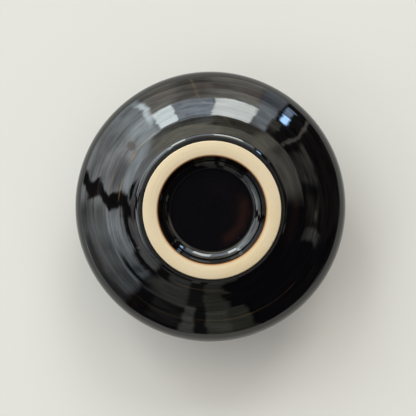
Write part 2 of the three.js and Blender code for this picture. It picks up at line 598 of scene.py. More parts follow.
@dataclass(frozen=True)
class RoundPlace:
    """Where a point is on a round piece, as shader values."""

    x: Value
    y: Value
    z: Value
    r: Value
    east: Value
    north: Value

    @staticmethod
    def of(paint: Paint) -> "RoundPlace":
        """Returns the place, radius and unit direction of the shaded point, from the pot's axis."""
        x, y, z = paint.place()
        r = (x * x + y * y) ** 0.5 + 0.01 * MM
        return RoundPlace(x, y, z, r, x / r, y / r)

    def vector(self, paint: Paint) -> Value:
        """Returns the place as one vector."""
        return paint.vector(self.x, self.y, self.z)

    def streak(self, paint: Paint, drawn: Streak) -> Value:
        """Returns noise drawn out round the axis, as a turning tool or a brush leaves it.

        Args:
            paint: The material's builder.
            drawn: How long, close and fine the streaks are.

        Returns:
            The noise, from about 0 to 1.
        """
        along, across = drawn.along, drawn.across
        vector = paint.vector(self.east * along, self.north * along, self.z * across)
        return paint.noise(vector, 1.0, drawn.detail, self.r * across)

    def facing(self, paint: Paint, azimuth: float, spread: float, soft: float = 12.0) -> Value:
        """Returns a mask round one azimuth.

        Args:
            paint: The material's builder.
            azimuth: Degrees clockwise from +Y.
            spread: Degrees on each side that are fully inside.
            soft: Degrees over which the mask fades.

        Returns:
            The mask.
        """
        angle = math.radians(azimuth)
        turned = self.east * math.sin(angle) + self.north * math.cos(angle)
        low = math.cos(math.radians(min(179.0, spread + soft)))
        return paint.ramp(turned, low, math.cos(math.radians(spread)))


# ---------------------------------------------------------------- finishes

Colour = tuple[float, float, float, float]


@dataclass(frozen=True)
class BreakLine:
    """A thin amber line where the glaze breaks over a throwing ridge.

    Attributes:
        radius: Its distance from the pot's axis.
        width: Half its soft width.
        azimuth: Its middle, in degrees clockwise from +Y.
        spread: How far it reaches to each side, in degrees.
        strength: How much of the amber shows.
    """

    radius: float
    width: float
    azimuth: float
    spread: float
    strength: float


@dataclass(frozen=True)
class BrownPatch:
    """A patch of the base or the well where the glaze lies thinner and shows red brown.

    Attributes:
        radius: Its middle's distance from the pot's axis.
        half_width: Half its soft width.
        azimuth: Its middle, in degrees clockwise from +Y.
        spread: How far it reaches to each side, in degrees.
        strength: How much of the brown shows.
    """

    radius: float
    half_width: float
    azimuth: float
    spread: float
    strength: float


@dataclass(frozen=True)
class Pinhole:
    """A small crater where a bubble broke in the glaze.

    Attributes:
        radius: Its distance from the pot's axis.
        azimuth: Degrees clockwise from +Y.
        across: Its diameter.
        depth: How deep its relief is.
        brown: How much of the pinhole's brown shows.
    """

    radius: float
    azimuth: float
    across: float
    depth: float
    brown: float

    def distance(self, x: Value, y: Value) -> Value:
        """Returns how far a point is from the middle, as a share of the crater's radius."""
        turn = math.radians(self.azimuth)
        east = x - self.radius * math.sin(turn)
        north = y - self.radius * math.cos(turn)
        return (east * east + north * north) ** 0.5 / (self.across / 2)


@dataclass(frozen=True)
class Vein:
    """A thin amber vein that runs down the glaze.

    Attributes:
        start: Its first point, as distance from the pot's axis and degrees clockwise from +Y.
        end: Its last point.
        width: Half its soft width.
    """

    start: tuple[float, float]
    end: tuple[float, float]
    width: float

    def mask(self, paint: Paint, place: RoundPlace, wander: Value) -> Value:
        """Returns where the vein lies.

        Args:
            paint: The material's builder.
            place: The shaded point.
            wander: How far the vein strays sideways.

        Returns:
            The mask.
        """
        turn = paint.node(
            "ShaderNodeMath", {"operation": "ARCTAN2"}, {0: place.east, 1: place.north}
        )
        along = (place.r - self.start[0]) / (self.end[0] - self.start[0])
        first, last = math.radians(self.start[1]), math.radians(self.end[1])
        aside = (turn - first - along * (last - first)) * place.r + wander
        ends = paint.ramp(along, -0.02, 0.10) * paint.ramp(along, 1.02, 0.90)
        return paint.ramp(abs(aside), self.width, 0.0) * ends


@dataclass(frozen=True)
class GlazeFinish:
    """The glossy iron glaze: near black where thick, red brown in patches, rust where it thins.

    A thin film over it, drawn out in streaks, reflects a little more than the glaze between them.
    Beside the ring it is rougher and reflects less, a painted shade that darkens the hollow next to the
    ring.

    Attributes:
        film: The film's weight where it is thickest.
        hollow_shade: How far from the ring the painted shade of rougher, duller glaze is full, and where
            the glaze is glossy again.
        hollow_shade_share: How strong that painted shade is at the ring.
        streaks: Depth of the fine brushed lines.
        ripple: Depth of the broad ones.
        edge: Width of the rust-brown line along the coat's upper edge.
        brown_cast: How much brown clouds the black.
        lip_rust: How much rust shows over the lip.
        fine: How the fine lines are drawn out.
        broad: How the ripples are drawn out.
        brushed: How the film is drawn out.
        wander: How the amber lines stray from their circle.
        gaps: How the amber lines are broken into lengths.
    """

    black: Colour = (0.0014, 0.0012, 0.0015, 1.0)
    brown: Colour = (0.021, 0.0075, 0.0048, 1.0)
    pinhole: Colour = (0.028, 0.014, 0.009, 1.0)
    amber: Colour = (0.22, 0.125, 0.038, 1.0)
    rust: Colour = (0.27, 0.095, 0.028, 1.0)
    roughness: float = 0.035
    index: float = 1.56
    film: float = 0.29
    film_roughness: float = 0.07
    film_index: float = 1.5
    # the next two settings give the rougher, duller glaze of the painted shade in the hollow beside the
    # ring
    hollow_shade_roughness: float = 0.45
    hollow_shade_specular: float = 0.15
    hollow_shade_share: float = 0.85
    hollow_shade: tuple[float, float] = (1.9 * MM, 3.1 * MM)
    streaks: float = 0.006 * MM
    ripple: float = 0.04 * MM
    edge: float = 0.5 * MM
    brown_cast: float = 0.06
    lip_rust: float = 0.6
    vein_strength: float = 0.17
    cloud_scale: float = 90.0
    fine: Streak = Streak(2.2, 1300.0, 3.0)
    broad: Streak = Streak(1.1, 300.0)
    brushed: Streak = Streak(1.6, 620.0, 5.0)
    wander: Streak = Streak(1.4, 0.0)
    gaps: Streak = Streak(4.5, 60.0)
    breaks: tuple[BreakLine, ...] = (
        BreakLine(43.2 * MM, 0.30 * MM, 188.0, 14.0, 0.25),
        BreakLine(49.9 * MM, 0.60 * MM, 293.0, 8.0, 0.55),
        BreakLine(50.7 * MM, 0.55 * MM, 312.0, 4.0, 0.45),
        BreakLine(55.5 * MM, 0.50 * MM, 297.0, 9.0, 0.35),
        BreakLine(61.8 * MM, 0.35 * MM, 204.0, 12.0, 0.16),
        BreakLine(60.4 * MM, 0.45 * MM, 148.0, 14.0, 0.15),
        BreakLine(60.7 * MM, 0.40 * MM, 174.0, 10.0, 0.2),
    )
    patches: tuple[BrownPatch, ...] = (
        BrownPatch(17.5 * MM, 5.0 * MM, 112.0, 30.0, 0.75),
        BrownPatch(13.0 * MM, 8.0 * MM, 50.0, 40.0, 0.12),
        BrownPatch(43.5 * MM, 4.0 * MM, 92.0, 2.0, 0.32),
        BrownPatch(63.0 * MM, 6.0 * MM, 62.0, 22.0, 0.07),
        BrownPatch(64.0 * MM, 8.0 * MM, 246.0, 16.0, 0.35),
        BrownPatch(66.0 * MM, 5.0 * MM, 352.0, 16.0, 0.5),
    )
    veins: tuple[Vein, ...] = (
        Vein((72.0 * MM, -9.0), (58.0 * MM, -6.0), 1.5 * MM),
        Vein((58.5 * MM, -6.0), (45.0 * MM, 14.0), 1.4 * MM),
        Vein((54.5 * MM, -20.0), (49.5 * MM, -28.0), 1.8 * MM),
    )
    pinholes: tuple[Pinhole, ...] = (
        Pinhole(54.2 * MM, 308.0, 6.0 * MM, 0.10 * MM, 0.95),
        Pinhole(44.0 * MM, 243.0, 1.8 * MM, 0.10 * MM, 0.15),
        Pinhole(20.2 * MM, 137.0, 1.8 * MM, 0.10 * MM, 0.1),
    )

    def material(self, name: str, sizes: ClaySizes, rust_below: float) -> bpy.types.Material:
        """Builds the glaze.

        Args:
            name: The material's name.
            sizes: The clay's sizes, for where the coat ends.
            rust_below: Height under which the coat is thin over the lip, or 0 for none.

        Returns:
            The material.
        """
        material, paint = new_material(name)
        coat = GlazeCoat(self, paint, sizes)
        coat.redden()
        coat.break_over_ridges()
        coat.thin_out(rust_below)
        coat.pit()
        coat.lay_veins()
        paint.show(coat.surface())
        return material


class GlazeCoat:
    """One coat of glaze, as shader values, while its marks are laid on one after the other."""

    def __init__(self, finish: GlazeFinish, paint: Paint, sizes: ClaySizes) -> None:
        """Brushes the plain coat: its colour, roughness, streaked film and ripples.

        Args:
            finish: The glaze's settings.
            paint: The material's builder.
            sizes: The clay's sizes.
        """
        self.finish, self.paint, self.sizes = finish, paint, sizes
        self.place = RoundPlace.of(paint)
        place = self.place
        self.cloud = paint.noise(place.vector(paint), finish.cloud_scale, 4.0)
        self.upward = paint.ramp(place.z, sizes.belly_z - 1 * MM, sizes.belly_z + 3 * MM)
        tint = paint.ramp(self.cloud, 0.50, 0.80) * finish.brown_cast
        self.colour = paint.mix(tint, finish.black, finish.brown)
        fine = place.streak(paint, finish.fine)
        self.rough = paint.ramp(fine, 0.45, 0.85) * 0.04 + finish.roughness
        self.film = paint.ramp(place.streak(paint, finish.brushed), 0.34, 0.68) * finish.film
        rippled = paint.bump(place.streak(paint, finish.broad), finish.ripple)
        self.normal = paint.bump(fine, finish.streaks, rippled)

    def stain(self, where: Number, colour: Colour) -> None:
        """Blends a colour into the coat, by a mask."""
        self.colour = self.paint.mix(where, self.colour, colour)

    def redden(self) -> None:
        """Adds the mottled red-brown patches."""
        paint, place = self.paint, self.place
        for patch in self.finish.patches:
            ring = paint.band(place.r, patch.radius, patch.half_width)
            where = ring * place.facing(paint, patch.azimuth, patch.spread, 30.0) * self.upward
            mottled = paint.ramp(self.cloud, 0.30, 0.70) * patch.strength
            self.stain(where * mottled, self.finish.brown)

    def break_over_ridges(self) -> None:
        """Adds the thin amber lines, broken into lengths, that wander a little off their circle."""
        paint, place = self.paint, self.place
        wander = (place.streak(paint, self.finish.wander) - 0.5) * (1.6 * MM)
        broken = paint.ramp(place.streak(paint, self.finish.gaps), 0.30, 0.62) * self.upward
        for mark in self.finish.breaks:
            on_line = paint.band(place.r + wander, mark.radius, mark.width)
            where = place.facing(paint, mark.azimuth, mark.spread) * broken
            self.stain(on_line * where * mark.strength, self.finish.amber)

    def thin_out(self, rust_below: float) -> None:
        """Lets the rust brown show along the coat's upper edge, and over the lip.

        Args:
            rust_below: Height under which the coat is thin over the lip, or 0 for none.
        """
        paint, place, sizes = self.paint, self.place, self.sizes
        coat_top = sizes.well()[-1].z
        edge = paint.ramp(place.z, coat_top - self.finish.edge, coat_top + 0.1 * MM)
        inside_ring = paint.ramp(place.r, sizes.foot_outer, sizes.foot_outer - 1 * MM)
        self.stain(edge * (inside_ring * 0.5 + 0.35), self.finish.rust)
        if rust_below > 0:
            height = place.z + (self.cloud - 0.5) * (1.5 * MM)
            thin = paint.ramp(height, rust_below, 0.3 * rust_below)
            self.stain(thin * self.finish.lip_rust, self.finish.rust)

    def pit(self) -> None:
        """Sinks the pinholes, which are browner and duller than the coat round them."""
        paint, place = self.paint, self.place
        for hole in self.finish.pinholes:
            reach = hole.distance(place.x, place.y) + (self.cloud - 0.5) * 0.9
            filled = paint.ramp(reach, 1.0, 0.7) * self.upward * hole.brown
            self.stain(filled, self.finish.pinhole)
            self.rough = self.rough + filled * 0.5
            self.film = self.film * (1.0 - filled)
            self.normal = paint.bump(paint.ramp(reach, 0.2, 1.1), hole.depth, self.normal)

    def lay_veins(self) -> None:
        """Adds the faint veins that run down the coat."""
        mottled = self.paint.ramp(self.cloud, 0.25, 0.75) * self.finish.vein_strength
        for vein in self.finish.veins:
            stray = (self.cloud - 0.5) * (3.0 * MM)
            on_vein = vein.mask(self.paint, self.place, stray) * self.upward
            self.stain(on_vein * mottled, self.finish.amber)

    def surface(self) -> Value:
        """Returns the glossy coat with its film, and rougher, duller glaze in the hollow beside the ring
        as painted shade.
        """
        paint, place, sizes, finish = self.paint, self.place, self.sizes, self.finish
        glossy = paint.principled(
            {
                "Base Color": self.colour,
                "Roughness": self.rough,
                "IOR": finish.index,
                "Coat Weight": self.film,
                "Coat Roughness": finish.film_roughness,
                "Coat IOR": finish.film_index,
                "Normal": self.normal,
            }
        )
        hollow_shade = paint.principled(
            {
                "Base Color": self.colour,
                "Roughness": finish.hollow_shade_roughness,
                "Specular IOR Level": finish.hollow_shade_specular,
            }
        )
        # painted shade: rougher, duller glaze darkens the hollow just outside the ring
        near, far = finish.hollow_shade
        beside = paint.ramp(place.r, sizes.foot_outer + far, sizes.foot_outer + near)
        over_root = paint.ramp(place.z, sizes.root_z - 0.5 * MM, sizes.root_z + 0.5 * MM)
        off_ring = paint.ramp(place.r, sizes.foot_outer - 1 * MM, sizes.foot_outer)
        painted_hollow_shade = beside * over_root * off_ring * finish.hollow_shade_share
        return paint.node("ShaderNodeMixShader", None, {0: painted_hollow_shade, 1: glossy, 2: hollow_shade})


@dataclass(frozen=True)
class StonewareFinish:
    """Bare cream stoneware: matt, finely grained, with turning lines and a thin toasted edge.

    Attributes:
        cream: The clay's colour.
        pale: The paler clay in its mottling and turning lines.
        stain: A warmer stain on one side.
        toast: The toasted clay along the ring's inner edge and low on its sides.
        speck: Iron specks, and the one brown spot.
        grain: Depth of the grain.
        turning: Depth of the turning lines.
        spot: Where the brown spot is, in x and y.
    """

    cream: Colour = (0.625, 0.483, 0.303, 1.0)
    pale: Colour = (0.70, 0.565, 0.388, 1.0)
    stain: Colour = (0.60, 0.44, 0.23, 1.0)
    toast: Colour = (0.40, 0.20, 0.075, 1.0)
    speck: Colour = (0.30, 0.17, 0.08, 1.0)
    roughness: float = 0.86
    roughness_change: float = 0.08
    specular: float = 0.3
    grain: float = 0.05 * MM
    turning: float = 0.045 * MM
    lines: Streak = Streak(2.5, 1500.0, 3.0)
    mottle_scale: float = 90.0
    grain_scale: float = 2600.0
    speck_scale: float = 420.0
    speck_clusters: float = 300.0
    stain_azimuth: float = 128.0
    spot: tuple[float, float] = (31.6 * MM, -16.8 * MM)
    spot_radius: float = 0.9 * MM

    def material(self, name: str, sizes: ClaySizes) -> bpy.types.Material:
        """Builds the bare clay.

        Args:
            name: The material's name.
            sizes: The clay's sizes, for where the glaze meets it.

        Returns:
            The material.
        """
        material, paint = new_material(name)
        place = RoundPlace.of(paint)
        vector = place.vector(paint)
        mottle = paint.noise(vector, self.mottle_scale, 4.0)
        lines = place.streak(paint, self.lines)
        grain = paint.noise(vector, self.grain_scale)
        colour = paint.mix(mottle * 0.6 + lines * 0.4, self.cream, self.pale)
        stained = place.facing(paint, self.stain_azimuth, 26.0, 30.0) * paint.ramp(mottle, 0.36, 0.60)
        colour = paint.mix(stained * 0.4, colour, self.stain)
        scattered = {"Vector": vector, "Scale": self.speck_scale}
        specks = paint.node("ShaderNodeTexVoronoi", None, scattered, "Distance")
        kept = paint.ramp(paint.noise(vector, self.speck_clusters), 0.52, 0.60)
        colour = paint.mix(paint.ramp(specks, 0.15, 0.06) * kept * 0.45, colour, self.speck)
        east, north = place.x - self.spot[0], place.y - self.spot[1]
        painted_falloff = (east * east + north * north) ** 0.5
        on_spot = paint.ramp(painted_falloff, self.spot_radius, 0.2 * MM) * 0.5
        colour = paint.mix(on_spot, colour, self.speck)
        inner = paint.ramp(place.r, sizes.foot_inner + 1.0 * MM, sizes.foot_inner + 0.05 * MM)
        low = paint.ramp(place.z, sizes.ground - 0.75 * MM, sizes.ground - 1.3 * MM)
        colour = paint.mix(inner * 0.85 + low * 0.45, colour, self.toast)
        normal = paint.bump(lines, self.turning)
        normal = paint.bump(grain, self.grain, normal)
        surface = paint.principled(
            {
                "Base Color": colour,
                "Roughness": (grain - 0.5) * self.roughness_change + self.roughness,
                "Specular IOR Level": self.specular,
                "Normal": normal,
            }
        )
        paint.show(surface)
        return material


# ---------------------------------------------------------------- the pot


@dataclass
class Pot:
    """The pot's pieces: thrown clay, the turned foot ring, and the coats of glaze.

    Attributes:
        sizes: The clay's sizes.
        wheel: What turns the outlines.
        ridge: Height of the throwing ridges.
        ridge_pitch: How far apart they are.
        ridge_start: How far from the foot they begin.
        roll: Width over which a coat's free edge rounds down.
        thin_edge: Thickness of a coat at its free edge.
        wobble: How far a turned face wavers.
        wobble_size: About how far apart the wavers are.
    """

    sizes: ClaySizes
    wheel: Wheel
    ridge: float = 0.022 * MM
    ridge_pitch: float = 7.5 * MM
    ridge_start: float = 9.0 * MM
    roll: float = 0.8 * MM
    thin_edge: float = 0.08 * MM
    wobble: float = 0.05 * MM
    wobble_size: float = 24.0 * MM

    def throwing_ridges(self, travelled: float) -> float:
        """Returns the low swell that the potter's fingers leave, by the distance from the foot."""
        slow = math.sin(math.tau * travelled / (self.ridge_pitch * 2.7) + 0.8)
        quick = math.sin(math.tau * travelled / self.ridge_pitch + 1.3 * slow)
        fade = min(1.0, max(0.0, travelled / self.ridge_start - 1.0))
        return self.ridge * (0.6 * quick + 0.6 * slow) * fade

    def face(self, outline: Outline, free_start: bool, free_end: bool, ridged: bool) -> Outline:
        """Returns a coat's outer face over a stretch of clay.

        Args:
            outline: The clay under the coat.
            free_start: Whether the coat stops on bare clay at its first point, and thins out there.
            free_end: The same for its last point.
            ridged: Whether the throwing ridges show.

        Returns:
            The face's outline.
        """
        steps = zip(outline, outline[1:])
        length = sum(math.hypot(b.r - a.r, b.z - a.z) for a, b in steps)

        def thickness(travelled: float, _point: Point) -> float:
            """Returns the coat's height over the clay there."""
            near = travelled if free_start else self.roll
            far = length - travelled if free_end else self.roll
            share = 1 - min(1.0, max(0.0, min(near, far)) / self.roll)
            rounded = (self.sizes.glaze - self.thin_edge) * math.sqrt(1 - share * share)
            swell = self.throwing_ridges(travelled) if ridged else 0.0
            return self.thin_edge + rounded + swell

        return relief(outline, thickness)

    def waver(self, piece: bpy.types.Object) -> None:
        """Makes a turned face waver a little, as hand-thrown clay does."""
        cloud = bpy.data.textures.new(piece.name + "_waver", "CLOUDS")
        cloud.noise_scale = self.wobble_size
        cloud.noise_depth = 1
        bpy.ops.object.select_all(action="DESELECT")
        piece.select_set(True)
        bpy.context.view_layer.objects.active = piece
        bpy.ops.object.modifier_add(type="DISPLACE")
        displace = piece.modifiers[-1]
        displace.texture = cloud
        displace.strength = self.wobble
        bpy.ops.object.modifier_apply(modifier=displace.name)

    def place(
        self, piece: bpy.types.Object, node: str, slot: str, material: bpy.types.Material
    ) -> None:
        """Gives a piece its finish and its place in the frame.

        Args:
            piece: The finished mesh.
            node: The CAD node that it stands for.
            slot: The record's material slot; not used.
            material: The finish.
        """
        piece.data.materials.clear()
        piece.data.materials.append(material)
        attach(piece, "root")
        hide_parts(node)
        log.info("%s: %d faces", piece.name, len(piece.data.polygons))

    def throw_body(self, clay: bpy.types.Material) -> None:
        """Builds the thrown body from the well's floor over the seat, wall and lip to the inside."""
        s = self.sizes
        outline = chain(
            sparse(s.below_seat(s.well())),
            list(s.seat()),
            sparse(s.below_seat(s.hollow())),
            sparse(s.base_and_belly()),
            sparse(s.shoulder_and_neck()),
            sparse(s.lip()),
            sparse(s.inside()),
        )
        piece = self.wheel.turn("clay_body", outline, False)
        self.place(piece, "thrown_body", "clay", clay)

    def turn_foot_ring(self, clay: bpy.types.Material) -> None:
        """Builds the foot ring: hollows down both sides, and a ground face that eases to its edges."""
        s = self.sizes
        seat_in, seat_out = s.seat()
        outline = chain(
            [seat_in],
            s.above_seat(s.well()),
            s.ground_face(),
            s.above_seat(s.hollow()),
            [seat_out],
        )
        piece = self.wheel.turn("bare_foot_ring", outline, True)
        self.place(piece, "foot_ring", "clay", clay)

    def glaze_outside(self, glaze: bpy.types.Material) -> None:
        """Builds the outside coat, from the foot ring's side to the collar."""
        s = self.sizes
        clay = chain(s.hollow(), s.base_and_belly(), s.shoulder_and_neck())
        outline = self.face(clay, True, False, True) + sparse(clay)[::-1]
        piece = self.wheel.turn("glaze_outside", outline, True)
        self.waver(piece)
        self.place(piece, "outer_glaze", "glaze", glaze)

    def glaze_lip(self, glaze: bpy.types.Material) -> None:
        """Builds the coat that is rolled over the lip."""
        clay = self.sizes.lip()
        outline = self.face(clay, False, False, False) + sparse(clay)[::-1]
        piece = self.wheel.turn("glaze_over_lip", outline, True)
        self.place(piece, "lip_glaze", "lip_glaze", glaze)

    def glaze_inside(self, glaze: bpy.types.Material) -> None:
        """Builds the inside coat, from the lip to the inside floor."""
        clay = self.sizes.inside()
        outline = sparse(clay)[::-1] + self.face(clay, False, False, True)
        piece = self.wheel.turn("glaze_inside", outline, False)
        self.place(piece, "inner_glaze", "glaze", glaze)

    def glaze_well(self, glaze: bpy.types.Material) -> None:
        """Builds the coat inside the foot ring."""
        clay = self.sizes.well()
        outline = self.face(clay, False, True, False) + sparse(clay)[::-1]
        piece = self.wheel.turn("glaze_in_foot_well", outline, False)
        self.waver(piece)
        self.place(piece, "foot_well_glaze", "glaze", glaze)


# ---------------------------------------------------------------- studio


Light = tuple[float, float, float]


@dataclass(frozen=True)
class Patch:
    """A soft-edged patch of light on the dome round the pot.

    Attributes:
        name: What it stands for.
        azimuth: From and to, in degrees clockwise from +Y.
        zenith: From and to, in degrees from straight up.
        light: Its colour, or what it leaves of the light under it where it dims.
        soft: Half the width of its soft edges, in azimuth and in zenith.
        bow: How far its top and bottom bend sideways, in degrees.
        folds: How much its pleats lift and deepen the light.
        lean: How far its bottom is turned from its middle, in degrees.
        dims: Whether it shades what lies under it.
    """

    name: str
    azimuth: tuple[float, float]
    zenith: tuple[float, float]
    light: Light
    soft: tuple[float, float] = (1.2, 1.0)
    bow: float = 0.0
    folds: float = 0.0
    lean: float = 0.0
    dims: bool = False

    def mask(self, paint: Paint, azimuth: Value, zenith: Value) -> Value:
        """Returns where the patch lies.

        Args:
            paint: The world's builder.
            azimuth: Degrees clockwise from +Y.
            zenith: Degrees from straight up.

        Returns:
            The mask, 1 inside.
        """
        middle, half = sum(self.azimuth) / 2, (self.azimuth[1] - self.azimuth[0]) / 2
        level, tall = sum(self.zenith) / 2, (self.zenith[1] - self.zenith[0]) / 2
        off_level = zenith - level
        lean = off_level * (self.lean / tall) if self.lean else 0.0
        if self.bow:
            lean = (off_level / tall) ** 2.0 * self.bow + lean
        turned = paint.node(
            "ShaderNodeMath",
            {"operation": "WRAP"},
            {0: azimuth - middle - lean, 1: 180.0, 2: -180.0},
        )
        across = paint.ramp(abs(turned), half + self.soft[0], half - self.soft[0])
        return across * paint.ramp(abs(off_level), tall + self.soft[1], tall - self.soft[1])

    def colour(self, paint: Paint, pleats: Value) -> Colour | Value:
        """Returns the patch's light, deepened and lifted by its folds."""
        if not self.folds:
            return (*self.light, 1.0)
        deep = tuple(part * (1 - self.folds) for part in self.light)
        lifted = tuple(part * (1 + self.folds) for part in self.light)
        return paint.mix(pleats, (*deep, 1.0), (*lifted, 1.0))


